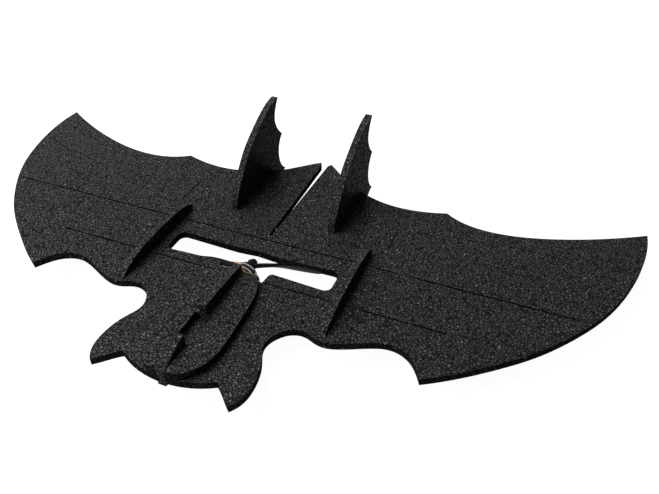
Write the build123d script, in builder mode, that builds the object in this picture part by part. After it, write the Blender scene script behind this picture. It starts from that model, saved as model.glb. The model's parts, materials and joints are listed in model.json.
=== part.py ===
"""A 600 mm flying wing cut from foam sheet, with a bat-shaped outline and a pusher propeller.

Millimetres. X is the span, Y runs from the nose (-Y) to the tail (+Y) and +Z is up.
The origin is the middle of the skid's foot, on the ground.
"""
import os
from math import atan, cos, pi, radians, sin, sqrt, tan

from build123d import *

os.makedirs("parts", exist_ok=True)

# Sheet and stance
semi_span = 300.0
nose_share = 0.537
foam = 6.0
ground_clearance = 20.0
rear_spar_y = 120.0
cut_gap = 0.3
glue_gap = 0.1
wing_top = ground_clearance + foam
tail_slit_wide = 1.05
tail_slit_rear = 3.2

# Elevons
hinge_y = 141.0
hinge_skin = 0.5
hinge_bevel = 30.0
elevon_root_x = 123.0
elevon_cusp = (132.0, 216.6)

# Fins, which stand on the elevons and reach the ground
fin_x = 46.5
fin_front = 150.0
fin_chord = 90.0
fin_height = 69.5
fin_slot_y = 180.0

# Fences
fence_x = 84.75
fence_front = 31.5
fence_length = 105.0
fence_height = 11.7
fence_tab_front = 75.0
fence_tab_length = 33.0

# Ridge, decks and equipment bay
bay_front = -12.9
bay_rear = 16.5
bay_half_width = 6.75
nose_ridge_height = 14.1
ridge_height = 15.0
deck_half_width = 28.2

# Skid under the wing
foot_length = 40.0
skid_front = -30.0
chin_depth = 2.6

# Plywood motor mount
ply = 1.5
mount_y = 69.6
mount_width = 35.0
mount_arm_height = 20.0
mount_height = 34.5
mount_centre_z = 21.75
mount_fillet = 5.0
mount_corner = 3.0

# Carbon strips
spar_height = 3.0
spar_width = 0.8
rear_spar_length = 510.0
front_spar_start = 21.0
front_spar_end = 167.0

# Motor
motor_z = 20.8
shaft_radius = 1.0
running_gap = 0.05
bell_radius = 10.5
bell_length = 7.8
lip_height = 0.25
lip_length = 1.1
bell_wall = 0.95
base_thickness = 1.9
base_radius = 7.0
base_arm_thickness = 1.2
base_arm_width = 5.0
base_lift = 2.2
tube_wall = 0.7
bearing_wall = 1.45
bearing_length = 1.8
screw_circle = 12.3
screw_radius = 1.0
stack_length = 3.4
air_gap = 0.25
magnet_thickness = 1.0
magnet_length = 4.2
window_count = 6
pole_count = 12
tooth_count = 9
tooth_width = 1.8
shoe_thickness = 0.9
core_wall = 1.4
coil_width = 0.8
coil_overhang = 1.6

# Propeller
prop_radius = 63.5
prop_pitch = 109.0
prop_angle = 15.4
hub_radius = 4.4
blade_camber = 0.11
hub_length = 7.0
adapter_length = 3.5
adapter_radius = 4.2
nut_across = 5.5
nut_height = 2.4
shaft_stub = 1.2
slot_side_room = 9.25
slot_front_room = 9.6
slot_rear_room = 13.2
slot_corner = 6.0
slot_shoulder = 1.2
slot_waist = 18.0
notch_room = 2.9

# Servos, lying flat in the wing with the arm outboard
servo_x = 77.0
servo_y = 45.0
servo_case_width = 15.0
servo_case_length = 18.0
servo_case_height = 7.5
servo_plug = 3.0
tower_length = 5.5
tower_radius = 3.5
pocket_neck_width = 8.4
servo_axis_y = 57.0
servo_shaft_radius = 1.2
arm_slot_length = 14.7
arm_slot_width = 2.5
arm_thickness = 1.5
arm_reach = 10.0
arm_hub_radius = 2.5
arm_tip_radius = 1.8
arm_screw_radius = 0.7
rod_radius = 0.6
rod_side_gap = 0.3
horn_slot_front = 147.0
horn_slot_length = 25.8
horn_thickness = 1.2
horn_eye_radius = 2.6
horn_play = 0.3

# Power and control
battery_length = 45.0
battery_width = 17.0
battery_height = 11.4
battery_front = 12.0
battery_corner = 2.0
strap_thickness = 0.8
strap_width = 12.0
esc_size = (12.0, 22.0, 4.0)
receiver_size = (14.0, 20.0, 3.5)
avionics_x = 28.0
avionics_y = 48.0

# Places that follow from the sizes
nose_y = rear_spar_y - nose_share * semi_span
motor_face = mount_y + ply
bell_front = motor_face + base_thickness + base_lift
bell_rear = bell_front + bell_length
prop_front = bell_rear + adapter_length
prop_y = prop_front + hub_length / 2
slot_half_width = prop_radius + slot_side_room
servo_top = wing_top - servo_plug
servo_axis_z = servo_top - servo_case_height / 2
tower_end = servo_x + servo_case_width + tower_length
arm_slot_x = tower_end + arm_slot_width / 2
arm_x = tower_end + cut_gap + arm_thickness / 2
rod_x = arm_x + arm_thickness / 2 + rod_side_gap + rod_radius
eye_z = wing_top - arm_reach


def save(piece, name):
    """Label one finished piece and write its STEP file."""
    piece.part.label = name
    export_step(piece.part, f"parts/{name}.step")


def save_pair(piece, name):
    """Write a right-hand piece, then its mirror image as the left-hand one."""
    save(piece, f"right_{name}")
    with BuildPart() as twin:
        mirror(piece.part, about=Plane.YZ)
    save(twin, f"left_{name}")


def plan(*points):
    """Turn shares of the half span, counted from the middle of the rear spar, into places."""
    return [(x * semi_span, rear_spar_y + y * semi_span) for x, y in points]


def upright(x, thickness=foam):
    """Plane of an upright sheet, drawn in Y and Z, whose extrusion is centred on x."""
    return Plane.YZ.offset(x - thickness / 2)


def flow(*points):
    """Draw a smooth run through points, with two tangent arcs between each pair of them."""
    guide = Spline(*points, mode=Mode.PRIVATE)
    stops = [Vector(*point) for point in points]
    ways = [guide.tangent_at(guide.param_at_point(stop)) for stop in stops]
    for start, end, away, arrival in zip(stops, stops[1:], ways, ways[1:]):
        step = end - start
        along = step.dot(away + arrival)
        bend = 2 * (1 - away.dot(arrival)) * step.dot(step)
        reach = step.dot(step) / (along + sqrt(along**2 + bend))
        middle = (start + end + (away - arrival) * reach) / 2
        TangentArc(start, middle, tangent=away)
        TangentArc(end, middle, tangent=-arrival)
    return stops


# Bat-shaped outline: the right half, with half of the slit between the elevons
ear_notch = (0.1235, -0.503)
ear_tip = (0.1775, -0.553)
elbow = (0.535, -0.327)
wing_tip = (0.998, 0.434)
cusp = (elevon_cusp[0] / semi_span, (elevon_cusp[1] - rear_spar_y) / semi_span)
tail = (0.018, 0.448)
with BuildSketch() as half_outline:
    with BuildLine():
        TangentArc(*plan((0, -nose_share), ear_notch), tangent=(1, 0))
        flow(*plan(ear_notch, (0.14, -0.517), (0.16, -0.537), ear_tip))
        flow(
            *plan(
                ear_tip, (0.196, -0.52), (0.2, -0.47), (0.187, -0.411), (0.169, -0.36),
                (0.18, -0.324), (0.215, -0.2925), (0.235, -0.289), (0.283, -0.303),
                (0.337, -0.2925), (0.391, -0.2675), (0.448, -0.2525), (0.4935, -0.27),
                (0.525, -0.309), elbow,
            )
        )
        flow(
            *plan(
                elbow, (0.606, -0.281), (0.681, -0.223), (0.766, -0.146), (0.842, -0.055),
                (0.901, 0.035), (0.941, 0.119), (0.970, 0.205), (0.990, 0.29), wing_tip,
            )
        )
        flow(
            *plan(
                wing_tip, (0.94, 0.400), (0.87, 0.3635), (0.74, 0.310), (0.60, 0.2795),
                (0.50, 0.290), cusp,
            )
        )
        flow(
            *plan(
                cusp, (0.35, 0.299), (0.30, 0.296), (0.21, 0.313), (0.165, 0.333),
                (0.115, 0.361), (0.079, 0.392), tail,
            )
        )
        slit_y = rear_spar_y + 0.022 * semi_span
        tail_y = rear_spar_y + 0.435 * semi_span
        Polyline(
            plan(tail)[0],
            (tail_slit_rear, tail_y),
            (tail_slit_wide, slit_y),
            (0, slit_y),
            (0, nose_y),
        )
    make_face()


def elevon_bay(inset):
    """Plan of the right elevon's bay, drawn in by inset along its hinge and its outer cut."""
    cusp_x, cusp_y = elevon_cusp
    slope = (cusp_x - elevon_root_x) / (cusp_y - hinge_y)
    far_y = cusp_y + foam
    far_x = cusp_x + slope * foam
    beyond = rear_spar_y + semi_span
    with BuildSketch() as bay:
        with BuildLine():
            Polyline(
                (0, hinge_y + inset),
                (elevon_root_x - inset, hinge_y + inset),
                (far_x - inset, far_y),
                (far_x - inset, beyond),
                (0, beyond),
                close=True,
            )
        make_face()
    return bay.sketch


def slot_outline():
    """Plan of the right half of the propeller slot, with the notch that takes the motor mount."""
    front = prop_y - slot_front_room
    rear = prop_y + slot_rear_room
    notch = mount_width / 2 + notch_room
    with BuildSketch() as slot:
        with BuildLine():
            Polyline(
                (0, mount_y),
                (notch, mount_y),
                (notch + slot_shoulder, front + slot_shoulder),
                (slot_half_width, front - slot_shoulder * 1.3),
                (slot_half_width, rear + slot_shoulder / 2),
                (slot_waist, rear - slot_shoulder),
                (0, rear + slot_shoulder / 4),
                close=True,
            )
        make_face()
        fillet(slot.vertices().sort_by(Axis.X)[-2:], slot_corner)
        shoulder_place = (notch + slot_shoulder, front + slot_shoulder)
        shoulder = slot.vertices().sort_by_distance(shoulder_place)[0]
        fillet(shoulder, slot_corner * 0.6)
    return slot.sketch


def servo_outline(gap):
    """Plan of the right servo's case, tower and arm, drawn in by gap."""
    with BuildSketch() as pocket:
        case_middle = (servo_x + servo_case_width / 2, servo_y + servo_case_length / 2)
        with Locations(case_middle):
            Rectangle(servo_case_width - 2 * gap, servo_case_length - 2 * gap)
        with Locations((tower_end - tower_length / 2, servo_axis_y)):
            Rectangle(tower_length + arm_slot_width, pocket_neck_width - 2 * gap)
        with Locations((arm_slot_x, servo_axis_y)):
            Rectangle(arm_slot_width - 2 * gap, arm_slot_length - 2 * gap)
    return pocket.sketch


# Wing panel: one sheet, with every slot that the other pieces need
with BuildPart() as wing_panel:
    with BuildSketch(Plane.XY.offset(ground_clearance)):
        add(half_outline.sketch)
        add(elevon_bay(-cut_gap / 2), mode=Mode.SUBTRACT)
        add(slot_outline(), mode=Mode.SUBTRACT)
        add(servo_outline(-glue_gap), mode=Mode.SUBTRACT)
        with Locations((fence_x, fence_tab_front + fence_tab_length / 2)):
            Rectangle(foam + 2 * glue_gap, fence_tab_length + 2 * glue_gap, mode=Mode.SUBTRACT)
        mirror(about=Plane.YZ)
        with Locations((0, bay_front)):
            Rectangle(
                foam + 2 * glue_gap,
                2 * (bay_front - nose_y),
                align=(Align.CENTER, Align.MAX),
                mode=Mode.SUBTRACT,
            )
    extrude(amount=foam)
    # Channels for the carbon strips, open to the top along the cut lines
    channel_width = spar_width + 2 * glue_gap
    channel_height = spar_height + 2 * glue_gap
    channel_z = ground_clearance + foam / 2
    with Locations((0, rear_spar_y, channel_z)):
        Box(
            rear_spar_length + 2 * glue_gap, channel_width, channel_height,
            mode=Mode.SUBTRACT,
        )
    front_spar_length = front_spar_end - front_spar_start
    front_spar_middle = (front_spar_start + front_spar_end) / 2
    with Locations((front_spar_middle, mount_y, channel_z), (-front_spar_middle, mount_y, channel_z)):
        Box(
            front_spar_length + 2 * glue_gap, channel_width, channel_height,
            mode=Mode.SUBTRACT,
        )
    bridge_in = fence_x - foam
    bridge_out = fence_x + foam * 1.5
    open_runs = [
        (rear_spar_y, -bridge_in, bridge_in),
        (rear_spar_y, bridge_out, 0.386 * semi_span),
        (rear_spar_y, 0.436 * semi_span, rear_spar_length / 2),
        (mount_y, front_spar_start, bridge_in - foam / 2),
        (mount_y, bridge_out + foam, front_spar_end),
    ]
    with BuildSketch(Plane.XY.offset(channel_z)):
        for run_y, start, end in open_runs:
            with Locations(((start + end) / 2, run_y)):
                Rectangle(end - start, channel_width)
        mirror(about=Plane.YZ)
    extrude(amount=foam, mode=Mode.SUBTRACT)
save(wing_panel, "wing_panel")

# Elevons: the same sheet aft of the hinge, bevelled below so that they can drop
with BuildPart() as elevon:
    with BuildSketch(Plane.XY.offset(ground_clearance)):
        add(half_outline.sketch)
        add(elevon_bay(cut_gap / 2), mode=Mode.INTERSECT)
        with Locations((fin_x, fin_slot_y - glue_gap)):
            Rectangle(
                foam + 2 * glue_gap,
                semi_span,
                align=(Align.CENTER, Align.MIN),
                mode=Mode.SUBTRACT,
            )
        with Locations((arm_x, horn_slot_front + horn_slot_length / 2)):
            Rectangle(
                horn_thickness + 2 * glue_gap,
                horn_slot_length + 2 * glue_gap,
                mode=Mode.SUBTRACT,
            )
    extrude(amount=foam)
    bevel_depth = foam - hinge_skin
    with BuildSketch(Plane.YZ):
        with BuildLine():
            Polyline(
                (hinge_y, ground_clearance),
                (hinge_y + bevel_depth * tan(radians(hinge_bevel)), ground_clearance),
                (hinge_y + cut_gap / 2, ground_clearance + bevel_depth),
                (hinge_y, ground_clearance + bevel_depth),
                close=True,
            )
        make_face()
    extrude(amount=semi_span, mode=Mode.SUBTRACT)
save_pair(elevon, "elevon")


def fin_edge(*points):
    """Turn shares of the fin's chord and height, or of the drop to the ground, into places."""
    return [
        (fin_front + along * fin_chord, wing_top + up * (fin_height if up > 0 else wing_top))
        for along, up in points
    ]


# Fins: swept blades with a scalloped rear edge, notched over the elevon's front part
with BuildPart() as fin:
    with BuildSketch(upright(fin_x)):
        with BuildLine():
            flow(
                *fin_edge(
                    (0, 0), (0.01, 0.13), (0.167, 0.419), (0.333, 0.639), (0.523, 0.795),
                    (0.697, 0.907), (0.867, 0.981), (1, 1),
                )
            )
            flow(*fin_edge((1, 1), (0.935, 0.87), (0.91, 0.756), (0.96, 0.57), (1.07, 0.419)))
            flow(*fin_edge((1.07, 0.419), (0.99, 0.29), (0.973, 0.173), (1.003, 0), (1.13, -0.485)))
            flow(*fin_edge((1.13, -0.485), (1.013, -0.6), (0.88, -0.87), (0.77, -1)))
            heel_front = fin_edge((0.70, -1))[0]
            Line(fin_edge((0.77, -1))[0], heel_front)
            flow(heel_front, *fin_edge((0.58, -0.8)), (fin_slot_y, ground_clearance))
            Polyline(
                (fin_slot_y, ground_clearance),
                (fin_slot_y, wing_top),
                (fin_front, wing_top),
            )
        make_face()
    extrude(amount=foam)
save_pair(fin, "fin")

# Fences: low strips that stand on the wing, each with one tab through it
fence_crest = (
    (0.09, 0.46), (0.15, 0.62), (0.24, 0.79), (0.30, 0.90), (0.41, 0.96), (0.52, 1.0),
    (0.64, 0.985), (0.76, 0.92), (0.88, 0.79), (0.96, 0.56),
)
with BuildPart() as fence:
    fence_rear = fence_front + fence_length
    with BuildSketch(upright(fence_x)):
        with BuildLine():
            flow(
                (fence_front, wing_top),
                *[(fence_front + t * fence_length, wing_top + h * fence_height) for t, h in fence_crest],
                (fence_rear, wing_top + fence_height * 0.3),
            )
            Polyline(
                (fence_rear, wing_top + fence_height * 0.3),
                (fence_rear, wing_top),
                (fence_tab_front + fence_tab_length, wing_top),
                (fence_tab_front + fence_tab_length, ground_clearance),
                (fence_tab_front, ground_clearance),
                (fence_tab_front, wing_top),
                (fence_front, wing_top),
            )
        make_face()
    extrude(amount=foam)
save_pair(fence, "fence")

# Ridge on the centre line: a nose piece let into the wing, and a rear piece up to the mount
with BuildPart() as nose_keel:
    nose_length = bay_front - nose_y
    nose_crest = ((0, 0.42), (0.10, 0.46), (0.20, 0.53), (0.33, 0.62), (0.51, 0.79), (0.72, 0.94), (1, 1))
    with BuildSketch(upright(0)):
        with BuildLine():
            crest = flow(
                *[(nose_y + t * nose_length, wing_top + h * nose_ridge_height) for t, h in nose_crest]
            )
            Polyline(crest[-1], (bay_front, ground_clearance), (nose_y, ground_clearance), crest[0])
        make_face()
    extrude(amount=foam)
save(nose_keel, "nose_keel")

with BuildPart() as rear_keel:
    ridge_length = mount_y - bay_rear
    ridge_crest = ((0, 1), (0.26, 1), (0.54, 0.93), (0.82, 0.86), (1, 0.81))
    with BuildSketch(upright(0)):
        with BuildLine():
            crest = flow(
                *[(bay_rear + t * ridge_length, wing_top + h * ridge_height) for t, h in ridge_crest]
            )
            Polyline(crest[-1], (mount_y, wing_top), (bay_rear, wing_top), crest[0])
        make_face()
    extrude(amount=foam)
save(rear_keel, "rear_keel")

# Decks: the two doublers beside the ridge, cut back around the equipment bay
with BuildPart() as deck:
    with BuildSketch(Plane.XY.offset(wing_top)):
        with BuildLine():
            deck_length = mount_y - nose_y
            inner = foam / 2
            rim = (
                (0, 0.62), (0.095, 0.80), (0.36, 0.957), (0.60, 1.0), (0.79, 0.957),
                (0.877, 0.83), (0.93, 0.69), (0.965, 0.55), (0.988, 0.38),
            )
            edge = flow(
                *[(w * deck_half_width, mount_y - t * deck_length) for t, w in rim],
                (inner, nose_y),
            )
            Polyline(
                edge[-1],
                (inner, bay_front),
                (bay_half_width, bay_front),
                (bay_half_width, bay_rear),
                (inner, bay_rear),
                (inner, mount_y),
                edge[0],
            )
        make_face()
    extrude(amount=foam)
save_pair(deck, "deck")

# Belly keel: the skid, notched from above for the battery and its strap
battery_top = ground_clearance - strap_thickness - cut_gap / 2
battery_bottom = battery_top - battery_height
with BuildPart() as belly_keel:
    mount_foot = mount_centre_z - mount_height / 2
    notch_floor = battery_bottom - strap_thickness - glue_gap
    with BuildSketch(upright(0)):
        with BuildLine():
            foot_front = (-foot_length / 2, 0)
            foot_rear = (foot_length / 2, 0)
            lip = (nose_y, ground_clearance - chin_depth)
            bow = (skid_front, ground_clearance * 0.62)
            flow(lip, bow, foot_front)
            Line(foot_front, foot_rear)
            flow(foot_rear, (mount_y * 0.62, mount_foot * 0.3), (mount_y, mount_foot))
            Polyline((mount_y, mount_foot), (mount_y, ground_clearance), (nose_y, ground_clearance), lip)
        make_face()
        with Locations((battery_front + battery_length / 2, notch_floor)):
            Rectangle(
                battery_length + 2 * cut_gap,
                ground_clearance,
                align=(Align.CENTER, Align.MIN),
                mode=Mode.SUBTRACT,
            )
    extrude(amount=foam)
save(belly_keel, "belly_keel")

# Carbon strips
with BuildPart() as rear_spar:
    with Locations((0, rear_spar_y, channel_z)):
        Box(rear_spar_length, spar_width, spar_height)
save(rear_spar, "rear_spar")

with BuildPart() as front_spar:
    with Locations((front_spar_middle, mount_y, channel_z)):
        Box(front_spar_length, spar_width, spar_height)
save_pair(front_spar, "front_spar")

# Motor mount: a plywood cross between the sheet, the decks and both keels
with BuildPart() as motor_mount:
    with BuildSketch(Plane.XZ.offset(-motor_face)):
        with Locations((0, motor_z)):
            Rectangle(mount_width, mount_arm_height)
        with Locations((0, mount_centre_z)):
            Rectangle(foam, mount_height)
    extrude(amount=ply)
    inner_edges = motor_mount.edges().filter_by(Axis.Y)
    inner_edges = inner_edges.filter_by(lambda e: abs(abs(e.center().X) - foam / 2) < 0.01)
    inner_edges = inner_edges.filter_by(
        lambda e: abs(abs(e.center().Z - motor_z) - mount_arm_height / 2) < 0.01
    )
    fillet(inner_edges, mount_fillet)
    outer_edges = motor_mount.edges().filter_by(Axis.Y)
    outer_edges = outer_edges.filter_by(lambda e: abs(e.center().X) > mount_width / 2 - 0.01)
    fillet(outer_edges, mount_corner)
    with BuildSketch(Plane.XZ.offset(-motor_face)):
        with Locations((0, motor_z)):
            with PolarLocations(screw_circle, 4):
                Circle(screw_radius)
    extrude(amount=ply, mode=Mode.SUBTRACT)
save(motor_mount, "motor_mount")

# Motor: an outrunner whose axis lies along Y
motor_axis = Axis((0, 0, motor_z), (0, 1, 0))
tube_bore = shaft_radius + bearing_wall
tube_radius = tube_bore + tube_wall
tube_end = bell_front + magnet_length + air_gap
stator_radius = bell_radius - bell_wall - magnet_thickness - air_gap
magnet_front = bell_front + glue_gap
stack_front = magnet_front + (magnet_length - stack_length) / 2


def across(y):
    """Plane square to the motor's axis at y, centred on the axis, facing the tail."""
    return Plane(origin=(0, y, motor_z), x_dir=(1, 0, 0), z_dir=(0, 1, 0))


def ring(y, length, outer, inner):
    """Plain ring around the motor's axis, from y to y + length."""
    with BuildPart() as made:
        with BuildSketch(across(y)):
            Circle(outer)
            Circle(inner, mode=Mode.SUBTRACT)
        extrude(amount=length)
    return made.part


with BuildPart() as motor_base:
    with BuildSketch(across(motor_face)):
        Circle(base_radius)
    extrude(amount=base_thickness)
    with BuildSketch(across(motor_face)):
        SlotOverall(2 * screw_circle + base_arm_width, base_arm_width)
        SlotOverall(2 * screw_circle + base_arm_width, base_arm_width, rotation=90)
    extrude(amount=base_arm_thickness)
    with BuildSketch(across(motor_face)):
        Circle(tube_radius)
    extrude(amount=tube_end - motor_face)
    with BuildSketch(across(motor_face)):
        Circle(tube_bore)
        with PolarLocations(screw_circle, 4):
            Circle(screw_radius)
    extrude(amount=tube_end - motor_face, mode=Mode.SUBTRACT)
save(motor_base, "motor_base")

with BuildPart() as motor_bearings:
    for bearing_y in (motor_face + glue_gap, tube_end - bearing_length - glue_gap):
        add(ring(bearing_y, bearing_length, tube_bore, shaft_radius + running_gap))
save(motor_bearings, "motor_bearings")

with BuildPart() as motor_stator:
    with BuildSketch(across(stack_front)):
        Circle(stator_radius)
        Circle(stator_radius - shoe_thickness, mode=Mode.SUBTRACT)
        half_step = 180 / tooth_count
        with PolarLocations(stator_radius, tooth_count, start_angle=half_step):
            Rectangle(4 * shoe_thickness, tooth_width * 0.7, mode=Mode.SUBTRACT)
        Circle(tube_radius + core_wall)
        tooth_length = stator_radius - shoe_thickness / 2 - tube_radius
        with PolarLocations(tube_radius + tooth_length / 2, tooth_count):
            Rectangle(tooth_length, tooth_width)
        Circle(tube_radius, mode=Mode.SUBTRACT)
    extrude(amount=stack_length)
save(motor_stator, "motor_stator")

with BuildPart() as motor_windings:
    coil_inner = tube_radius + core_wall + coil_width * 0.8
    coil_half = tooth_width / 2 + coil_width
    coil_outer = sqrt((stator_radius - shoe_thickness - glue_gap) ** 2 - coil_half**2)
    coil_length = coil_outer - coil_inner
    with BuildSketch(across(stack_front - coil_overhang)):
        with PolarLocations((coil_inner + coil_outer) / 2, tooth_count):
            Rectangle(coil_length, 2 * coil_half)
    extrude(amount=stack_length + coil_overhang + coil_width)
    with BuildSketch(across(stack_front)):
        with PolarLocations((coil_inner + coil_outer) / 2, tooth_count):
            Rectangle(2 * coil_length, tooth_width)
    extrude(amount=stack_length, mode=Mode.SUBTRACT)
save(motor_windings, "motor_windings")

magnet_outer = bell_radius - bell_wall
cap_y = bell_rear - 3 * bell_wall
with BuildPart() as motor_bell:
    with BuildSketch(Plane.YZ):
        with BuildLine():
            Polyline(
                (bell_front, motor_z + magnet_outer),
                (bell_front, motor_z + bell_radius - lip_height),
                (cap_y - lip_length, motor_z + bell_radius - lip_height),
                (cap_y - lip_length, motor_z + bell_radius),
                (cap_y, motor_z + bell_radius),
                (cap_y, motor_z + bell_radius - lip_height),
                (cap_y + bell_wall, motor_z + bell_radius - lip_height),
                (cap_y + bell_wall, motor_z + adapter_radius),
                (bell_rear, motor_z + adapter_radius),
                (bell_rear, motor_z + shaft_radius),
                (cap_y, motor_z + shaft_radius),
                (cap_y, motor_z + magnet_outer),
                close=True,
            )
        make_face()
    revolve(axis=motor_axis)
    window_length = magnet_outer - adapter_radius - 2 * bell_wall
    with BuildSketch(across(cap_y)):
        with PolarLocations((magnet_outer + adapter_radius) / 2, window_count):
            Rectangle(window_length, window_length)
    extrude(amount=bell_wall, mode=Mode.SUBTRACT)
save(motor_bell, "motor_bell")

with BuildPart() as magnet_ring:
    with BuildSketch(across(magnet_front)):
        Circle(magnet_outer)
        Circle(magnet_outer - magnet_thickness, mode=Mode.SUBTRACT)
        with PolarLocations(magnet_outer, pole_count):
            Rectangle(3 * magnet_thickness, magnet_thickness / 2, mode=Mode.SUBTRACT)
    extrude(amount=magnet_length)
save(magnet_ring, "magnet_ring")

nut_y = prop_front + hub_length
with BuildPart() as motor_shaft:
    shaft_start = motor_face + glue_gap
    with BuildSketch(across(shaft_start)):
        Circle(shaft_radius)
    extrude(amount=nut_y + nut_height + shaft_stub - shaft_start)
    chamfer(motor_shaft.faces().sort_by(Axis.Y)[-1].edges(), shaft_radius * 0.3)
save(motor_shaft, "motor_shaft")

# Adapter, propeller and nut, clamped on the shaft behind the bell
with BuildPart() as prop_adapter:
    with BuildSketch(Plane.YZ):
        with BuildLine():
            waist = adapter_radius * 0.7
            Polyline(
                (bell_rear, motor_z + shaft_radius),
                (bell_rear, motor_z + adapter_radius),
                (bell_rear + adapter_length * 0.4, motor_z + adapter_radius),
                (bell_rear + adapter_length * 0.4, motor_z + waist),
                (prop_front - adapter_length * 0.3, motor_z + waist),
                (prop_front - adapter_length * 0.3, motor_z + adapter_radius),
                (prop_front, motor_z + adapter_radius),
                (prop_front, motor_z + shaft_radius),
                close=True,
            )
        make_face()
    revolve(axis=motor_axis)
save(prop_adapter, "prop_adapter")

blade_stations = (
    (0.06, 5.2), (0.14, 6.8), (0.32, 9.6), (0.55, 11.0), (0.79, 9.4), (0.94, 6.2), (1.0, 2.6),
)


def blade_plane(turn, radius):
    """Plane square to a blade at a radius, turned to the propeller's pitch there."""
    out = Vector(cos(radians(turn)), 0, sin(radians(turn)))
    sideways = Vector(-sin(radians(turn)), 0, cos(radians(turn)))
    pitch = atan(prop_pitch / (2 * pi * radius))
    chord_way = sideways * cos(pitch) - Vector(0, 1, 0) * sin(pitch)
    return Plane(origin=Vector(0, prop_y, motor_z) + out * radius, x_dir=chord_way, z_dir=out)


with BuildPart() as propeller:
    with BuildSketch(across(prop_front)):
        Circle(hub_radius)
    extrude(amount=hub_length)
    chamfer(propeller.edges().filter_by(GeomType.CIRCLE), hub_radius * 0.12)
    for turn in (prop_angle, prop_angle + 180):
        with BuildPart(mode=Mode.PRIVATE) as blade:
            for share, chord in blade_stations:
                with BuildSketch(blade_plane(turn, share * prop_radius)):
                    with BuildLine():
                        camber = chord * blade_camber
                        Polyline(
                            (chord / 2, 0),
                            (chord * 0.22, camber),
                            (-chord * 0.18, camber * 0.9),
                            (-chord / 2, 0),
                            (0, -camber * 0.3),
                            close=True,
                        )
                    make_face()
            loft()
        add(blade.part)
    with BuildSketch(across(prop_front)):
        Circle(shaft_radius + running_gap)
    extrude(amount=hub_length, mode=Mode.SUBTRACT)
save(propeller, "propeller")

with BuildPart() as prop_nut:
    with BuildSketch(across(nut_y)):
        RegularPolygon(nut_across / 2, 6, major_radius=False)
        Circle(shaft_radius, mode=Mode.SUBTRACT)
    extrude(amount=nut_height)
save(prop_nut, "prop_nut")

# Servos: case, output shaft, arm and arm screw, under a thin foam plug
with BuildPart() as servo_case:
    with BuildSketch(Plane.XY.offset(servo_top - servo_case_height)):
        with Locations((servo_x + servo_case_width / 2, servo_y + servo_case_length / 2)):
            Rectangle(servo_case_width, servo_case_length)
    extrude(amount=servo_case_height)
    chamfer(servo_case.edges().filter_by(Axis.Z), bell_wall)
    tower_plane = Plane(
        origin=(servo_x + servo_case_width, servo_axis_y, servo_axis_z),
        x_dir=(0, 1, 0),
        z_dir=(1, 0, 0),
    )
    with BuildSketch(tower_plane):
        Circle(tower_radius)
    extrude(amount=tower_length)
    with BuildSketch(tower_plane.offset(tower_length)):
        Circle(servo_shaft_radius + running_gap)
    extrude(amount=-tower_length * 0.6, mode=Mode.SUBTRACT)
save_pair(servo_case, "servo_case")

with BuildPart() as servo_plug_piece:
    with BuildSketch(Plane.XY.offset(servo_top)):
        add(servo_outline(cut_gap))
    extrude(amount=servo_plug)
save_pair(servo_plug_piece, "servo_plug")

arm_inner = arm_x - arm_thickness / 2
with BuildPart() as servo_shaft:
    with BuildSketch(tower_plane.offset(tower_length * 0.5)):
        Circle(servo_shaft_radius)
    extrude(amount=arm_inner - servo_x - servo_case_width - tower_length * 0.5)
save_pair(servo_shaft, "servo_shaft")

arm_plane = Plane(origin=(arm_inner, servo_axis_y, servo_axis_z), x_dir=(0, 1, 0), z_dir=(1, 0, 0))
with BuildPart() as servo_arm:
    with BuildSketch(arm_plane) as arm_outline:
        Circle(arm_hub_radius)
        with Locations((0, -arm_reach)):
            Circle(arm_tip_radius)
        make_hull()
        Circle(arm_screw_radius, mode=Mode.SUBTRACT)
        with Locations((0, -arm_reach)):
            Circle(rod_radius + running_gap, mode=Mode.SUBTRACT)
    extrude(amount=arm_thickness)
save_pair(servo_arm, "servo_arm")

# Control horns: plates let into the elevons, with an eye under the hinge
with BuildPart() as control_horn:
    with BuildSketch(upright(arm_x, horn_thickness)):
        with BuildLine():
            horn_rear = horn_slot_front + horn_slot_length
            eye_low = (hinge_y, eye_z - horn_eye_radius)
            eye_front = (hinge_y - horn_eye_radius, eye_z)
            brow = (hinge_y + horn_eye_radius * 0.5, eye_z + horn_eye_radius * 0.87)
            ThreePointArc(eye_low, eye_front, brow)
            Polyline(
                brow,
                (horn_slot_front, ground_clearance),
                (horn_slot_front, wing_top),
                (horn_rear, wing_top),
                (horn_rear, ground_clearance),
            )
            flow((horn_rear, ground_clearance), (hinge_y + arm_reach, eye_z - 0.6), eye_low)
        make_face()
        with Locations((hinge_y, eye_z)):
            Circle(rod_radius + horn_play, mode=Mode.SUBTRACT)
    extrude(amount=horn_thickness)
save_pair(control_horn, "control_horn")

# Pushrods: one wire each, bent square into the arm and into the horn
arm_eye_z = servo_axis_z - arm_reach
rod_run = Vector(0, hinge_y - servo_axis_y, eye_z - arm_eye_z)
rod_inner = Vector(arm_inner - rod_x, 0, 0)
with BuildPart() as pushrod:
    arm_eye = Vector(rod_x, servo_axis_y, arm_eye_z)
    horn_eye = arm_eye + rod_run
    with BuildLine() as rod_path:
        Polyline(arm_eye + rod_inner, arm_eye, horn_eye, horn_eye + rod_inner)
    with BuildSketch(Plane(origin=arm_eye + rod_inner, z_dir=(1, 0, 0))):
        Circle(rod_radius)
    sweep(transition=Transition.RIGHT)
save_pair(pushrod, "pushrod")

# Power and control, under the wing
with BuildPart() as battery:
    battery_middle = (0, battery_front + battery_length / 2, battery_bottom)
    with Locations(battery_middle):
        Box(
            battery_width, battery_length, battery_height,
            align=(Align.CENTER, Align.CENTER, Align.MIN),
        )
    fillet(battery.edges().filter_by(Axis.Y), battery_corner)
save(battery, "battery")

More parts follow.
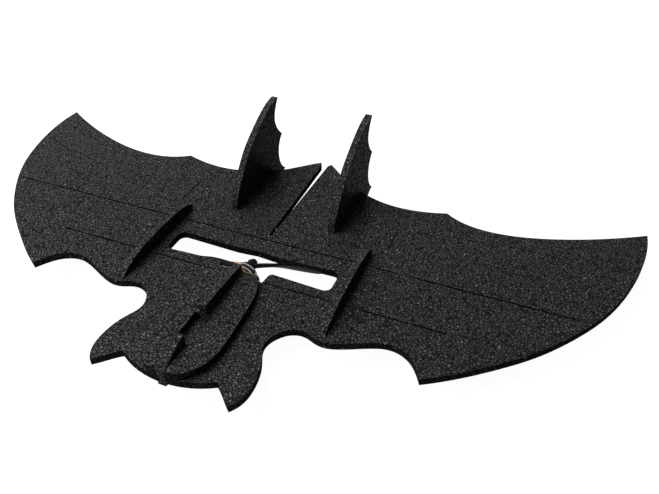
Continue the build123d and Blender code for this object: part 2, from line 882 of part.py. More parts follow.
with BuildPart() as battery_strap:
    strap_front = battery_front + (battery_length - strap_width) / 2
    with BuildSketch(Plane.XZ.offset(-strap_front)):
        with Locations((0, battery_bottom + battery_height / 2)):
            RectangleRounded(
                battery_width + 2 * strap_thickness,
                battery_height + 2 * strap_thickness,
                battery_corner + strap_thickness,
            )
            RectangleRounded(battery_width, battery_height, battery_corner, mode=Mode.SUBTRACT)
    extrude(amount=-strap_width)
save(battery_strap, "battery_strap")

for board, size, board_x in (("esc", esc_size, -avionics_x), ("receiver", receiver_size, avionics_x)):
    with BuildPart() as board_case:
        with Locations((board_x, avionics_y, ground_clearance)):
            Box(*size, align=(Align.CENTER, Align.CENTER, Align.MAX))
        fillet(board_case.edges().filter_by(Axis.Z), size[2] * 0.25)
    save(board_case, board)
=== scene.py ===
"""Finish and lighting for the foam flying wing: black moulded-bead foam, plywood, motor, servos."""
import json
from math import atan, cos, pi, radians, sin

import bpy
from mathutils import Matrix, Vector


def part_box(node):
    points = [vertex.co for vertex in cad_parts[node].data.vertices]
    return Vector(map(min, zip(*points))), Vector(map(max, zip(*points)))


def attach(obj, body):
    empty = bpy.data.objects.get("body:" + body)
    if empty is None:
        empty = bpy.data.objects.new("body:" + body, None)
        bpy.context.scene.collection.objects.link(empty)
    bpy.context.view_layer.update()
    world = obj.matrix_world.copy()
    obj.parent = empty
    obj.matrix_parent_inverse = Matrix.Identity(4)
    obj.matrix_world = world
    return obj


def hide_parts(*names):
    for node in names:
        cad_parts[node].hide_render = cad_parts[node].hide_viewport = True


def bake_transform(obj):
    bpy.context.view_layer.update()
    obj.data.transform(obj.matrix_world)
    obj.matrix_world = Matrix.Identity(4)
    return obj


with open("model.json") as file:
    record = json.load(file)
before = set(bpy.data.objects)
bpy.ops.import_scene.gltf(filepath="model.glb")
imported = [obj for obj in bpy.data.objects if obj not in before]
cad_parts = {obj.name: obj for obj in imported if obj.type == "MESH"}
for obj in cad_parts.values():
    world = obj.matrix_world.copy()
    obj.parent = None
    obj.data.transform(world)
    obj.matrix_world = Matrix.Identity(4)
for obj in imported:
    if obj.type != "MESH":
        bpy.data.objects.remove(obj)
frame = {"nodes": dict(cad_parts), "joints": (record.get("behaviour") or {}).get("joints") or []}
nodes = frame["nodes"]
bpy.ops.object.select_all(action="DESELECT")


def grey(shade):
    """A grey as the three channels of a colour."""
    return (shade, shade, shade)


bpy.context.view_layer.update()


# ---------------------------------------------------------------- shader tools


class Value:
    """A number that varies over a surface. Arithmetic on it adds Math nodes to its finish."""

    def __init__(self, finish, socket):
        self.finish = finish
        self.socket = socket

    def reckon(self, operation, first, second=0.0):
        return self.finish.node("ShaderNodeMath", {"operation": operation}, [first, second])

    def __add__(self, other):
        return self.reckon("ADD", self, other)

    def __mul__(self, other):
        return self.reckon("MULTIPLY", self, other)

    def __sub__(self, other):
        return self.reckon("SUBTRACT", self, other)

    def __rsub__(self, other):
        return self.reckon("SUBTRACT", other, self)

    def __truediv__(self, other):
        return self.reckon("DIVIDE", self, other)

    def __abs__(self):
        return self.reckon("ABSOLUTE", self)

    def over(self, limit):
        """1 above the limit, and 0 below it."""
        return self.reckon("GREATER_THAN", self, limit)

    def between(self, low, high):
        """1 from low to high, and 0 elsewhere."""
        return 1.0 - abs(self - (low + high) / 2).over((high - low) / 2)

    def at_most(self, limit):
        return self.reckon("MINIMUM", self, limit)

    def clamped(self):
        """Held between 0 and 1."""
        return self.reckon("MAXIMUM", self, 0.0).at_most(1.0)

    def waves(self, pitch):
        """A swing between -1 and 1, once for each pitch."""
        return self.reckon("SINE", self * (2 * pi / pitch))


class Finish:
    """One material: its shader, and short ways to add nodes in front of it."""

    def __init__(self, name, **shader):
        self.material = bpy.data.materials.new(name)
        self.material.use_nodes = True
        self.tree = self.material.node_tree
        self.shader = self.tree.nodes["Principled BSDF"]
        for socket, value in shader.items():
            self.shader.inputs[socket.replace("_", " ")].default_value = value

    def node(self, kind, settings, inputs, output=0):
        """Add a node: its settings first, then a value or a link for each named socket."""
        made = self.tree.nodes.new(kind)
        for setting, value in settings.items():
            if setting == "stops":
                self.set_stops(made.color_ramp, value)
            else:
                setattr(made, setting, value)
        named = inputs.items() if isinstance(inputs, dict) else enumerate(inputs)
        for socket, value in named:
            if isinstance(value, Value):
                self.tree.links.new(value.socket, made.inputs[socket])
            else:
                made.inputs[socket].default_value = value
        return Value(self, made.outputs[output])

    def set_stops(self, ramp, stops):
        """Give a ramp its stops, each a place and a grey or a colour."""
        while len(ramp.elements) < len(stops):
            ramp.elements.new(1.0)
        for element, (place, shade) in zip(ramp.elements, stops):
            element.position = place
            element.color = (*(grey(shade) if isinstance(shade, float) else shade), 1)

    def place(self):
        return self.node("ShaderNodeTexCoord", {}, [], "Object")

    def stretched(self, scale):
        """The place scaled unevenly, for a grain that runs along the axis with a small scale."""
        inputs = {"Vector": self.place(), "Scale": scale}
        return self.node("ShaderNodeMapping", {}, inputs, "Vector")

    def part_of(self, vector, axis):
        return self.node("ShaderNodeSeparateXYZ", {}, [vector], axis)

    def along(self, axis):
        """How far along an axis of the frame the surface lies, in metres."""
        return self.part_of(self.place(), axis)

    def faces(self, axis, least=0.7):
        """1 where the surface faces along an axis, either way, and 0 elsewhere."""
        normal = self.node("ShaderNodeNewGeometry", {}, [], "Normal")
        return abs(self.part_of(normal, axis)).over(least)

    def noise(self, scale, detail=2.0, roughness=0.5, stretch=None):
        inputs = {
            "Vector": self.stretched(stretch) if stretch else self.place(),
            "Scale": scale,
            "Detail": detail,
            "Roughness": roughness,
        }
        return self.node("ShaderNodeTexNoise", {}, inputs)

    def cells(self, size, feature="F1", output="Distance", vector=None):
        """Irregular cells of about one size, in metres."""
        inputs = {"Vector": vector or self.place(), "Scale": 1 / size}
        return self.node("ShaderNodeTexVoronoi", {"feature": feature}, inputs, output)

    def ramp(self, value, *stops):
        return self.node("ShaderNodeValToRGB", {"stops": stops}, [value], "Color")

    def blend(self, share, first, second):
        """Colour that goes from first to second as share goes from 0 to 1."""
        inputs = {0: share, 6: self.colour(first), 7: self.colour(second)}
        return self.node("ShaderNodeMix", {"data_type": "RGBA"}, inputs, 2)

    def colour(self, shade):
        return shade if isinstance(shade, Value) else (*shade, 1)

    def set(self, socket, value):
        self.tree.links.new(value.socket, self.shader.inputs[socket])

    def relief(self, height, depth, edge=None):
        """Raise the surface by height times depth, and round its edges by a radius, in metres."""
        inputs = {"Height": height, "Distance": depth}
        if edge:
            bevel = {"Radius": edge}
            inputs["Normal"] = self.node("ShaderNodeBevel", {"samples": 4}, bevel, "Normal")
        self.set("Normal", self.node("ShaderNodeBump", {}, inputs, "Normal"))


# ---------------------------------------------------------------- foam

BEAD = 0.0024
BEAD_DRIFT = 0.0013
# Moves the pattern of one face away from that of the next, so that no bead runs through a sheet
LAYER_SHIFT = 41.0
# Ramp from the seams between beads to their domes: painted shade in the seams, a painted sheen on
# the domes
SKIN_PAINTED_SHEEN_STOPS = ((0.0, 0.004), (0.25, 0.03), (0.6, 0.068), (1.0, 0.1))
# Place on the ramp, and share of the painted lightness of a cut edge
EDGE_PAINTED_SHEEN_STOPS = ((0.2, 0.25), (0.5, 0.55), (1.0, 1.0))
# Rare light specks of base colour: painted glints of beads that catch the lamp
PAINTED_GLINT_SIZE, PAINTED_GLINT_RARITY, PAINTED_GLINT_SHADE = 0.0012, 0.9965, 0.25
# Near-black base colour along the cuts that strips stand in: painted shade of the slits
CUT_SHADE_MARGIN, CUT_DEPTH = 0.0003, 0.004
CUT_PAINTED_SHADE_SHARE, CUT_PAINTED_SHADE = 0.9, 0.002
STRIPS_IN_CUTS = (
    "left_front_spar",
    "left_control_horn",
    "right_front_spar",
    "right_control_horn",
    "rear_spar",
)


def cut_slit_painted_shade(finish):
    """1 along the cuts in the wing's top that strips stand in, where the slits' shade is painted
    dark, 0 elsewhere.
    """
    apart = finish.along("X"), finish.along("Y")
    slit_shade = 0.0
    for name in STRIPS_IN_CUTS:
        points = [vertex.co for vertex in nodes[name].data.vertices]
        rim = max(point.z for point in points) - CUT_SHADE_MARGIN
        inside = 1.0
        for axis in (0, 1):
            reach = [point[axis] for point in points if point.z > rim]
            inside = apart[axis].between(min(reach) - CUT_SHADE_MARGIN, max(reach) + CUT_SHADE_MARGIN) * inside
        slit_shade = inside + slit_shade
    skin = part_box("wing_panel")[1].z
    near_skin = finish.along("Z").between(skin - CUT_DEPTH, skin + CUT_SHADE_MARGIN)
    # In places the foam has closed over the cut again, and there the painted shade breaks off
    still_open = (finish.noise(60.0, detail=1.0) * 2.6 - 0.5).clamped()
    return slit_shade.at_most(1.0) * still_open * near_skin


def foam(name, skin_axis, painted_edge_light, shine):
    """Black moulded-bead foam whose skin faces along skin_axis. Its colour holds a painted sheen on
    the beads' domes, painted shade in the seams between them, and painted glints on rare beads.

    painted_edge_light is the lightness painted on its cut edges: low for painted shade, high for
    painted light. shine is the gleam on the tops of its skin's beads.
    """
    finish = Finish(name, Specular_IOR_Level=0.0, Coat_Roughness=0.3)
    place = finish.place()
    facing = finish.faces(skin_axis)
    # On the skin the beads lie in one layer, and each face has a layer of its own
    depth = finish.part_of(place, skin_axis)
    layer = {axis: finish.part_of(place, axis) + depth * facing * LAYER_SHIFT for axis in "XYZ"}
    layer[skin_axis] = depth * (1.0 - facing)
    beads = finish.node("ShaderNodeCombineXYZ", {}, layer)
    wander = {"Vector": place, "Scale": 300.0}
    drift = finish.node("ShaderNodeTexNoise", {}, wander, "Color")
    beads = finish.node(
        "ShaderNodeVectorMath",
        {"operation": "MULTIPLY_ADD"},
        [drift, grey(BEAD_DRIFT), beads],
        "Vector",
    )
    seam = finish.cells(BEAD, "DISTANCE_TO_EDGE", vector=beads)
    tint = finish.part_of(finish.cells(BEAD, output="Color", vector=beads), "X")
    dome = (seam * 2.4).at_most(1.0)
    grain = finish.noise(1300.0, roughness=0.6)
    # Domes light and seams dark as painted sheen and painted shade, with a tone that differs at
    # random
    bead_tone_and_painted_sheen = dome * (tint * 0.3 + 0.75) * (grain * 0.6 + 0.7)
    skin = finish.ramp(bead_tone_and_painted_sheen, *SKIN_PAINTED_SHEEN_STOPS)
    # Cut edges get their own painted lightness: painted shade on the sheets' edges, painted light
    # on the uprights' edges
    painted_edge_stops = [(stop, painted_edge_light * share) for stop, share in EDGE_PAINTED_SHEEN_STOPS]
    edge = finish.ramp(bead_tone_and_painted_sheen, SKIN_PAINTED_SHEEN_STOPS[0], *painted_edge_stops)
    # Painted glints: rare beads get a light base colour
    painted_glint = finish.part_of(finish.cells(PAINTED_GLINT_SIZE, output="Color"), "Y").over(PAINTED_GLINT_RARITY)
    beaded = finish.blend(painted_glint, finish.blend(facing, edge, skin), grey(PAINTED_GLINT_SHADE))
    slit_shade = cut_slit_painted_shade(finish)
    # Painted shade of the slits around the strips
    finish.set("Base Color", finish.blend(slit_shade * CUT_PAINTED_SHADE_SHARE, beaded, grey(CUT_PAINTED_SHADE)))
    finish.set("Roughness", 0.6 - tint * 0.12 + (1.0 - facing) * 0.15)
    gleam = (grain * 1.6 - 0.6).clamped() * shine
    finish.set("Coat Weight", facing * dome * gleam * (1.0 - slit_shade))
    finish.relief(dome + grain * 0.3 + tint * 0.25, 0.0004, edge=0.0004)
    return finish.material


# ---------------------------------------------------------------- other finishes

BELL_RIM = 0.0008
REAR_RIM_FROM_FRONT = 0.0044
PAINT_RINGS, ALUMINIUM_RINGS = 0.00012, 0.00025
STRAP_RIBS = 0.0012
WIRE = 0.00035


def carbon():
    """Drawn carbon strip, with fibres along X."""
    finish = Finish("carbon_strip", Specular_IOR_Level=0.03)
    fibre = finish.noise(900.0, stretch=(0.02, 1.0, 1.0))
    finish.set("Base Color", finish.ramp(fibre, (0.3, 0.002), (0.7, 0.009)))
    finish.set("Roughness", fibre * 0.2 + 0.25)
    finish.relief(fibre, 0.00003)
    return finish.material


def plywood():
    """Three birch plies. The faces show long grain, and the edges are scorched by the cutter."""
    finish = Finish("birch_ply")
    grain = finish.noise(700.0, detail=4.0, roughness=0.7, stretch=(1.0, 1.0, 0.06))
    flecks = finish.noise(2600.0, stretch=(1.0, 1.0, 0.15))
    wood_stops = (0.3, (0.33, 0.18, 0.08)), (0.6, (0.62, 0.42, 0.23))
    wood = finish.ramp(grain * 0.8 + flecks * 0.2, *wood_stops)
    low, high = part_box("motor_mount")
    across = (finish.along("Y") - low.y) / (high.y - low.y)
    middle_ply = 1.0 - (abs(across - 0.5) * 6.0).at_most(1.0)
    scorch = (finish.noise(420.0) * 1.6 - 0.65).clamped()
    edge = finish.blend(middle_ply * 0.8, (0.80, 0.58, 0.34), (0.28, 0.13, 0.05))
    edge = finish.blend(scorch, edge, (0.55, 0.28, 0.10))
    finish.set("Base Color", finish.blend(finish.faces("Y"), edge, wood))
    finish.set("Roughness", grain * 0.2 + 0.5)
    finish.relief(grain, 0.00006, edge=0.0002)
    return finish.material


def turned_aluminium():
    """Bare metal turned about the motor's axis, with fine rings along Y and faint smudges."""
    finish = Finish("turned_aluminium", Metallic=1.0)
    rings = finish.along("Y").waves(ALUMINIUM_RINGS)
    smudge = finish.noise(300.0, detail=4.0)
    finish.set("Base Color", finish.blend(smudge, grey(0.55), (0.80, 0.80, 0.79)))
    finish.set("Roughness", smudge * 0.16 + rings * 0.02 + 0.22)
    finish.relief(rings + smudge, 0.00001, edge=0.00012)
    return finish.material


def bell_paint():
    """Black paint on the motor's bell, with both rims left as bright turned metal."""
    finish = Finish("bell_paint", Specular_IOR_Level=0.1)
    along = finish.along("Y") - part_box("motor_bell")[0].y
    front_rim = 1.0 - along.over(BELL_RIM)
    rear_rim = along.between(REAR_RIM_FROM_FRONT - BELL_RIM / 2, REAR_RIM_FROM_FRONT + BELL_RIM / 2)
    outward = 1.0 - finish.faces("Y", least=0.5)
    bare = (front_rim + rear_rim).at_most(1.0) * outward
    smudge = finish.noise(400.0, detail=4.0)
    paint = finish.blend(smudge, (0.012, 0.012, 0.013), (0.03, 0.03, 0.031))
    metal = finish.blend(smudge, (0.32, 0.32, 0.31), (0.6, 0.6, 0.58))
    finish.set("Base Color", finish.blend(bare, paint, metal))
    finish.set("Metallic", bare)
    finish.set("Roughness", smudge * 0.12 + 0.38 - bare * 0.14)
    finish.relief(along.waves(PAINT_RINGS), 0.000004, edge=0.00012)
    return finish.material


def worked_metal(name, light, dark, roughness):
    """Plain small metal parts with handling marks."""
    finish = Finish(name, Metallic=1.0)
    smudge = finish.noise(500.0, detail=5.0, roughness=0.6)
    scratch = finish.noise(2400.0, stretch=(0.1, 1.0, 1.0))
    finish.set("Base Color", finish.blend(smudge, dark, light))
    finish.set("Roughness", smudge * 0.18 + scratch * 0.06 + roughness)
    finish.relief(scratch, 0.000008, edge=0.0001)
    return finish.material


def moulded(name, light, dark, roughness, gloss=0.5, coat=0.0):
    """Moulded plastic with a fine spark-eroded texture."""
    finish = Finish(name, Specular_IOR_Level=gloss, Coat_Weight=coat)
    fine = finish.noise(900.0, detail=3.0, roughness=0.6)
    broad = finish.noise(70.0, detail=3.0)
    finish.set("Base Color", finish.blend(broad, dark, light))
    finish.set("Roughness", fine * 0.12 + broad * 0.06 + roughness)
    finish.relief(fine, 0.00002, edge=0.0002)
    return finish.material


def copper_wire():
    """Enamelled wire in tight turns."""
    finish = Finish("winding_wire", Metallic=1.0, Coat_Weight=0.6)
    turns = finish.cells(WIRE, vector=finish.stretched((1.0, 0.15, 1.0)))
    # The colour darkens from the middle of each turn towards the creases between turns: painted
    # shade in the creases
    copper_and_crease_shade_stops = (0.1, (0.75, 0.30, 0.12)), (0.9, (0.30, 0.09, 0.03))
    finish.set("Base Color", finish.ramp(turns, *copper_and_crease_shade_stops))
    finish.set("Roughness", turns * 0.2 + 0.25)
    finish.relief(1.0 - turns, 0.0001)
    return finish.material


def webbing():
    """Woven strap with a ribbed face."""
    finish = Finish("strap_webbing", Sheen_Weight=0.3)
    ribs = finish.along("Y").waves(STRAP_RIBS)
    weave = finish.noise(2200.0)
    finish.set("Base Color", finish.ramp(ribs * 0.3 + weave * 0.7, (0.2, 0.006), (0.8, 0.035)))
    finish.set("Roughness", weave * 0.2 + 0.75)
    finish.relief(ribs + weave * 0.6, 0.00015)
    return finish.material


def shrink_wrap(name, light, dark):
    """Heat-shrunk film that follows what it covers, with small wrinkles."""
    finish = Finish(name, Coat_Weight=0.25)
    wrinkle = finish.noise(160.0, detail=4.0, roughness=0.55, stretch=(1.0, 0.4, 1.0))
    finish.set("Base Color", finish.blend(wrinkle, dark, light))
    finish.set("Roughness", wrinkle * 0.2 + 0.28)
    finish.relief(wrinkle, 0.0003, edge=0.0003)
    return finish.material


# ---------------------------------------------------------------- which finish each node has


def cover(piece, material):
    """Give a piece one material in place of any that it has."""
    piece.data.materials.clear()
    piece.data.materials.append(material)


def dress(material, *names):
    """Give each named CAD node a finish."""
    for name in names:
        cover(nodes[name], material)


def pair(*names):
    """The left and the right node of each name."""
    return [f"{side}_{name}" for side in ("left", "right") for name in names]


# One foam in two copies: the sheets' cut edges painted dark as painted shade, the uprights' cut
# edges painted lighter as painted light
sheet_foam = foam("foam_sheet_painted_edge_shade", "Z", painted_edge_light=0.06, shine=2.4)
upright_foam = foam("foam_upright_painted_edge_light", "X", painted_edge_light=0.18, shine=0.6)
bright_steel = worked_metal("bright_steel", (0.72, 0.72, 0.73), (0.45, 0.45, 0.46), 0.22)
black_steel = worked_metal("black_steel", grey(0.05), grey(0.02), 0.35)
nickel = worked_metal("magnet_nickel", (0.60, 0.59, 0.56), (0.40, 0.39, 0.37), 0.2)
iron = worked_metal("stator_iron", (0.10, 0.10, 0.11), (0.05, 0.05, 0.06), 0.4)
BLACK, DEEP_BLACK = (0.012, 0.012, 0.013), grey(0.005)
anodised = moulded("adapter_anodised", BLACK, DEEP_BLACK, 0.4, gloss=0.05)
prop_plastic = moulded("prop_plastic", BLACK, DEEP_BLACK, 0.35, gloss=0.04)
glass_filled = moulded("glass_filled", (0.008, 0.008, 0.009), grey(0.003), 0.45, gloss=0.03)
BLUE, DEEP_BLUE = (0.030, 0.045, 0.075), (0.018, 0.028, 0.05)
servo_plastic = moulded("servo_plastic", BLUE, DEEP_BLUE, 0.3, coat=0.3)
nylon = moulded("nylon", (0.74, 0.73, 0.68), (0.62, 0.61, 0.56), 0.4)
battery_film = shrink_wrap("battery_film", (0.035, 0.04, 0.05), (0.015, 0.018, 0.024))
board_film = shrink_wrap("board_film", grey(0.03), grey(0.012))

dress(sheet_foam, "wing_panel", *pair("elevon", "deck", "servo_plug"))
dress(upright_foam, "nose_keel", "rear_keel", "belly_keel", *pair("fin", "fence"))
dress(carbon(), "rear_spar", *pair("front_spar"))
dress(plywood(), "motor_mount")
dress(turned_aluminium(), "motor_base")
dress(bell_paint(), "motor_bell")
dress(bright_steel, "motor_shaft", "motor_bearings", *pair("pushrod"))
dress(nickel, "magnet_ring")
dress(iron, "motor_stator")
dress(copper_wire(), "motor_windings")
dress(anodised, "prop_adapter", "prop_nut")
dress(servo_plastic, *pair("servo_case"))
dress(nylon, *pair("servo_arm", "servo_shaft"))
dress(glass_filled, *pair("control_horn"))
dress(battery_film, "battery")
dress(board_film, "esc", "receiver")
dress(webbing(), "battery_strap")


# ---------------------------------------------------------------- shape tools


def pick(piece, wanted):
    """Leave edit mode selecting only the vertices whose place is wanted."""
    bpy.ops.object.mode_set(mode="OBJECT")
    for parts in (piece.data.polygons, piece.data.edges):
        parts.foreach_set("select", [False] * len(parts))
    for vertex in piece.data.vertices:
        vertex.select = wanted(vertex.co)
    bpy.ops.object.mode_set(mode="EDIT")


def join_to(piece, other, operation):
    """Add or cut another piece, which is then gone."""
    change = piece.modifiers.new(operation.lower(), "BOOLEAN")
    change.object, change.operation, change.solver = other, operation, "EXACT"
    bpy.context.view_layer.objects.active = piece
    bpy.ops.object.modifier_apply(modifier=change.name)
    bpy.data.objects.remove(other, do_unlink=True)


def shade_smooth(piece, angle):
    """Shade a piece smooth, but for edges sharper than the angle, and leave nothing selected."""
    bpy.ops.object.select_all(action="DESELECT")
    piece.select_set(True)
    bpy.context.view_layer.objects.active = piece
    bpy.ops.object.shade_smooth_by_angle(angle=angle)
    piece.select_set(False)


# ---------------------------------------------------------------- hinge skins

HINGE_GAP = 0.0003
HINGE_BITE = 0.0003
HINGE_TOP, HINGE_BOTTOM = 0.00025, 0.00048
HINGE_FOLDS = 6


def hinge_skin(side, joint):
    """The thin skin of foam left uncut along an elevon's hinge, cut into thin strips along the
    hinge.
    """
    _, axis_y, axis_z = joint["pos_m"]
    front, rear = axis_y - HINGE_GAP / 2, axis_y + HINGE_GAP / 2
    points = [vertex.co for vertex in nodes[f"{side}_elevon"].data.vertices]
    edge = [point.x for point in points if point.y < axis_y + HINGE_GAP]
    low = Vector((min(edge), front - HINGE_BITE, axis_z - HINGE_BOTTOM))
    high = Vector((max(edge), rear + HINGE_BITE, axis_z - HINGE_TOP))
    middle = (low + high) / 2
    bpy.ops.mesh.primitive_cube_add(size=1, location=(0, 0, 0))
    skin = bpy.context.object
    skin.name = f"{side}_hinge_skin"
    bpy.ops.object.mode_set(mode="EDIT")
    bpy.ops.transform.resize(value=high - low, center_override=(0, 0, 0))
    bpy.ops.transform.translate(value=middle)
    for fold in range(HINGE_FOLDS + 1):
        bpy.ops.mesh.select_all(action="SELECT")
        across = axis_y + HINGE_GAP * (fold / HINGE_FOLDS - 0.5)
        bpy.ops.mesh.bisect(plane_co=(0, across, 0), plane_no=(0, 1, 0))
    bpy.ops.object.mode_set(mode="OBJECT")
    cover(skin, sheet_foam)
    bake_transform(skin)
    skin.select_set(False)


joints = {joint["name"]: joint for joint in frame["joints"]}
for side in ("left", "right"):
    hinge_skin(side, joints[f"{side}_elevon_hinge"])


# ---------------------------------------------------------------- propeller

PITCH = 0.109
STEEPEST = radians(42)
PARKED_AT = radians(15.4)
HUB_RADIUS = 0.0044
HUB_BEVEL = HUB_RADIUS * 0.14
BORE_SLACK = 0.00008
# Distance out from the axis, chord, thickness, and sweep towards the leading edge
BLADE_SECTIONS = (
    (0.0020, 0.0058, 0.0042, 0.0006),
    (0.0060, 0.0057, 0.0040, 0.0010),
    (0.0105, 0.0056, 0.0037, 0.0014),
    (0.0160, 0.0058, 0.0034, 0.0018),
    (0.0220, 0.0068, 0.0029, 0.0019),
    (0.0290, 0.0098, 0.0023, 0.0020),
    (0.0360, 0.0118, 0.0019, 0.0019),
    (0.0430, 0.0121, 0.0016, 0.0013),
    (0.0490, 0.0115, 0.0014, 0.0006),
    (0.0540, 0.0101, 0.0012, -0.0006),
    (0.0585, 0.0080, 0.0010, -0.0018),
    (0.0615, 0.0055, 0.0009, -0.0030),
    (0.0630, 0.0030, 0.0008, -0.0038),
)
# A section starts as a circle. Its thickest place is moved towards the leading edge, and the
# face that pushes is flattened. It starts too thick, as the smoothing thins it again.
LEADING_HALF, TRAILING_HALF = 0.64, 1.36
PUSHING_FACE = 0.45
BEFORE_SMOOTHING = 1.4
# How far from a middle line a point of the circle counts as off it, and a section's own height
OFF_MIDDLE, SAME_HEIGHT = 0.01, 0.0001


def resize_across(x, y, height=0):
    """Scale what is picked in X and Y, about a point at a height on the Z axis."""
    bpy.ops.transform.resize(value=(x, y, 1), center_override=(0, 0, height))


def propeller_blade():
    """One blade that stands up along Z, with each section turned to the propeller's pitch."""
    radius, chord, thickness, _ = BLADE_SECTIONS[0]
    bpy.ops.mesh.primitive_circle_add(
        vertices=20, radius=0.5, fill_type="NGON", location=(0, 0, 0)
    )
    blade = bpy.context.object
    bpy.ops.object.mode_set(mode="EDIT")
    pick(blade, lambda at: at.x > OFF_MIDDLE)
    resize_across(LEADING_HALF, 1)
    pick(blade, lambda at: at.x < -OFF_MIDDLE)
    resize_across(TRAILING_HALF, 1)
    pick(blade, lambda at: at.y < -OFF_MIDDLE)
    resize_across(1, PUSHING_FACE)
    bpy.ops.mesh.select_all(action="SELECT")
    resize_across(chord, thickness * BEFORE_SMOOTHING)
    bpy.ops.transform.translate(value=(0, 0, radius))
    for inner, outer in zip(BLADE_SECTIONS, BLADE_SECTIONS[1:]):
        rise, wider, thicker = outer[0] - inner[0], outer[1] / inner[1], outer[2] / inner[2]
        bpy.ops.mesh.extrude_region_move(TRANSFORM_OT_translate={"value": (0, 0, rise)})
        resize_across(wider, thicker, height=outer[0])
    for radius, _, _, sweep in BLADE_SECTIONS:
        pick(blade, lambda at: abs(at.z - radius) < SAME_HEIGHT)
        turn = min(atan(PITCH / (2 * pi * radius)), STEEPEST)
        # Without a window this operator turns the other way
        bpy.ops.transform.rotate(value=-turn, orient_axis="Z", center_override=(0, 0, radius))
        bpy.ops.transform.translate(value=(sweep, 0, 0))
    bpy.ops.mesh.select_all(action="SELECT")
    bpy.ops.mesh.normals_make_consistent(inside=False)
    bpy.ops.object.mode_set(mode="OBJECT")
    smooth = blade.modifiers.new("smooth", "SUBSURF")
    smooth.levels = smooth.render_levels = 2
    bpy.ops.object.modifier_apply(modifier="smooth")
    return blade


def two_blade_propeller():
    """A twisted two-blade propeller on a bored hub, parked at an angle behind the motor."""
    low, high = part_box("prop_nut")
    shaft_low, shaft_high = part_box("motor_shaft")
    front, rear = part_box("prop_adapter")[1].y, low.y
    centre = Vector(((low.x + high.x) / 2, (front + rear) / 2, (low.z + high.z) / 2))
    along = Vector((0, 1, 0)).to_track_quat("Z", "X").to_matrix().to_4x4()
    bpy.ops.mesh.primitive_cylinder_add(
        vertices=64, radius=HUB_RADIUS, depth=rear - front, location=(0, 0, 0)
    )
    hub = bpy.context.object
    hub.name = "propeller_blades"
    bpy.ops.object.mode_set(mode="EDIT")
    for end in (1, -1):
        pick(hub, lambda at: at.z * end > 0)
        bpy.ops.mesh.bevel(offset=HUB_BEVEL, segments=3, affect="EDGES")
    bpy.ops.object.mode_set(mode="OBJECT")
    hub.data.transform(Matrix.Translation(centre) @ along)
    blade = propeller_blade()
    other = blade.copy()
    other.data = blade.data.copy()
    bpy.context.scene.collection.objects.link(other)
    for piece, turn in ((blade, PARKED_AT), (other, PARKED_AT + pi)):
        sideways = Vector((-sin(turn), 0, cos(turn)))
        out = Vector((cos(turn), 0, sin(turn)))
        stand = Matrix((sideways, Vector((0, -1, 0)), out)).transposed().to_4x4()
        piece.data.transform(Matrix.Translation(centre) @ stand)
        join_to(hub, piece, "UNION")
    bore = (shaft_high.x - shaft_low.x) / 2 + BORE_SLACK
    bpy.ops.mesh.primitive_cylinder_add(
        vertices=48, radius=bore, depth=(rear - front) * 2, location=(0, 0, 0)
    )
    drill = bpy.context.object
    drill.data.transform(Matrix.Translation(centre) @ along)
    join_to(hub, drill, "DIFFERENCE")
    shade_smooth(hub, radians(40))
    cover(hub, prop_plastic)
    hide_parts("propeller")
    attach(hub, "rotor")


two_blade_propeller()


# ---------------------------------------------------------------- small screws

# Radius and height of the head, and radius of its socket
MOUNT_SCREW = (0.0015, 0.001, 0.00075)
ARM_SCREW = (0.0014, 0.0004, 0.0006)
BASE_ARM_HALF_WIDTH, BASE_ARM_THICKNESS = 0.0025, 0.0012


def cap_screw(name, seat, way, size, body):
    """A round screw head that stands on its seat and faces along way, with a hexagon socket."""
    radius, height, socket = size
    turn = Vector(way).to_track_quat("Z", "Y").to_matrix().to_4x4()
    bpy.ops.mesh.primitive_cylinder_add(
        vertices=32, radius=radius, depth=height, location=(0, 0, 0)
    )
    screw = bpy.context.object
    screw.name = name
    rim = screw.modifiers.new("rim", "BEVEL")
    rim.width, rim.segments, rim.limit_method = radius * 0.15, 2, "ANGLE"
    bpy.ops.object.modifier_apply(modifier="rim")
    bpy.ops.mesh.primitive_cylinder_add(
        vertices=6, radius=socket, depth=height, location=(0, 0, height / 2)
    )
    join_to(screw, bpy.context.object, "DIFFERENCE")
    middle = Vector(seat) + Vector(way) * height / 2
    screw.data.transform(Matrix.Translation(middle) @ turn)
    shade_smooth(screw, radians(35))
    cover(screw, black_steel)
    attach(screw, body)


base_low, base_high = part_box("motor_base")
motor_centre = (base_low + base_high) / 2
circle = (base_high.x - base_low.x) / 2 - BASE_ARM_HALF_WIDTH
for number, (across, up) in enumerate(((1, 0), (0, 1), (-1, 0), (0, -1)), 1):
    face = base_low.y + BASE_ARM_THICKNESS
    seat = (across * circle, face, motor_centre.z + up * circle)
    cap_screw(f"mount_screw_{number}", seat, (0, 1, 0), MOUNT_SCREW, "airframe")
for side, way in (("left", -1), ("right", 1)):
    arm_low, arm_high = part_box(f"{side}_servo_arm")
    shaft_low, shaft_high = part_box(f"{side}_servo_shaft")
    shaft_middle = (shaft_low + shaft_high) / 2
    seat = (arm_high.x if way > 0 else arm_low.x, shaft_middle.y, shaft_middle.z)
    cap_screw(f"{side}_arm_screw", seat, (way, 0, 0), ARM_SCREW, f"{side}_servo_arm_body")


# ---------------------------------------------------------------- camera, stage and light

EYE = Vector((0.20776, -0.26899, 0.36404))
TURN, TILT, ROLL = 0.370298, 0.667085, 0.013279
SENSOR_WIDTH = 36
LENS_OVER_WIDTH = 655.11 / 659
FLOOR_SIZE, FLOOR_DROP = 6, 0.0002
FLOOR_GLOW = 0.97
ROOM_LIGHT = 0.045
LAMP_PLACE, LAMP_TARGET = Vector((-0.66, 0.0, 1.0)), Vector((0, 0.1, 0))
LAMP_SIZE, LAMP_LIGHT = 1.3, 16.5
WHITE = (1, 1, 1, 1)


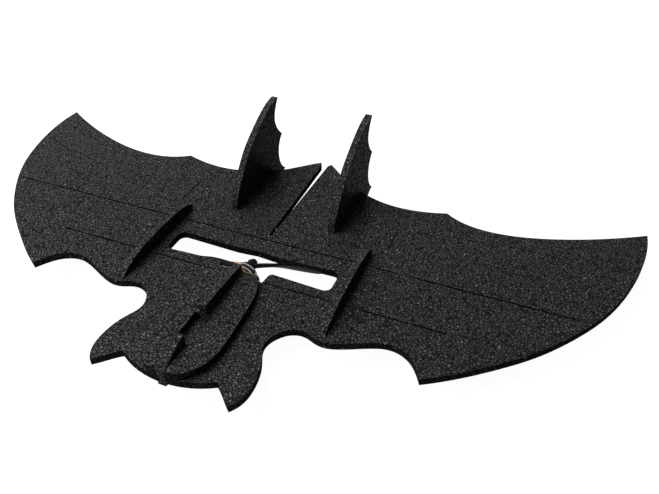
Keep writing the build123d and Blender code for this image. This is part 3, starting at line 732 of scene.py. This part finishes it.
def place_camera():
    """Camera in front of the nose, above and to the right, looking down the wing."""
    forward = Vector((-sin(TURN) * cos(TILT), cos(TURN) * cos(TILT), -sin(TILT)))
    level = Vector((cos(TURN), sin(TURN), 0))
    up = level.cross(forward)
    right = level * cos(ROLL) + up * sin(ROLL)
    top = up * cos(ROLL) - level * sin(ROLL)
    data = bpy.data.cameras.new("camera")
    data.sensor_width = SENSOR_WIDTH
    data.lens = SENSOR_WIDTH * LENS_OVER_WIDTH
    data.clip_start = 0.01
    camera = bpy.data.objects.new("camera", data)
    turned = Matrix((right, top, -forward)).transposed().to_4x4()
    camera.matrix_world = Matrix.Translation(EYE) @ turned
    bpy.context.scene.collection.objects.link(camera)
    bpy.context.scene.camera = camera


def stage_floor():
    """White floor that keeps a faint shadow, mirrors as white, and bounces light as pale paint."""
    bpy.ops.mesh.primitive_plane_add(size=FLOOR_SIZE, location=(0, 0, -FLOOR_DROP))
    floor = bpy.context.object
    floor.name = "floor"
    finish = Finish("pale_floor", Roughness=0.9, Specular_IOR_Level=0.0)
    rays = finish.tree.nodes.new("ShaderNodeLightPath")
    seen = Value(finish, rays.outputs["Is Camera Ray"])
    mirrored = Value(finish, rays.outputs["Is Glossy Ray"])
    through = Value(finish, rays.outputs["Is Transmission Ray"])
    finish.set("Base Color", finish.blend(seen, grey(0.85), grey(0.35)))
    finish.shader.inputs["Emission Color"].default_value = WHITE
    glow = seen * FLOOR_GLOW + mirrored + through
    finish.set("Emission Strength", glow.at_most(1.0))
    cover(floor, finish.material)


def light_room():
    """Dim pale room that is white wherever it is seen or mirrored."""
    world = bpy.data.worlds.new("room")
    bpy.context.scene.world = world
    world.use_nodes = True
    tree = world.node_tree
    seen = tree.nodes["Background"]
    room = tree.nodes.new("ShaderNodeBackground")
    room.inputs["Strength"].default_value = ROOM_LIGHT
    for shader in (seen, room):
        shader.inputs["Color"].default_value = WHITE
    rays = tree.nodes.new("ShaderNodeLightPath")
    share = rays.outputs["Is Camera Ray"]
    for kind in ("Is Glossy Ray", "Is Transmission Ray"):
        total = tree.nodes.new("ShaderNodeMath")
        tree.links.new(share, total.inputs[0])
        tree.links.new(rays.outputs[kind], total.inputs[1])
        share = total.outputs[0]
    mix = tree.nodes.new("ShaderNodeMixShader")
    tree.links.new(share, mix.inputs["Fac"])
    tree.links.new(room.outputs["Background"], mix.inputs[1])
    tree.links.new(seen.outputs["Background"], mix.inputs[2])
    tree.links.new(mix.outputs["Shader"], tree.nodes["World Output"].inputs["Surface"])


def hang_lamp():
    """One broad lamp above the left wing."""
    data = bpy.data.lights.new("key", "AREA")
    data.shape = "RECTANGLE"
    data.size = data.size_y = LAMP_SIZE
    data.energy = LAMP_LIGHT
    lamp = bpy.data.objects.new("key", data)
    lamp.location = LAMP_PLACE
    lamp.rotation_euler = (LAMP_TARGET - LAMP_PLACE).to_track_quat("-Z", "Y").to_euler()
    bpy.context.scene.collection.objects.link(lamp)


place_camera()
stage_floor()
light_room()
hang_lamp()
bpy.context.scene.view_settings.view_transform = "Standard"
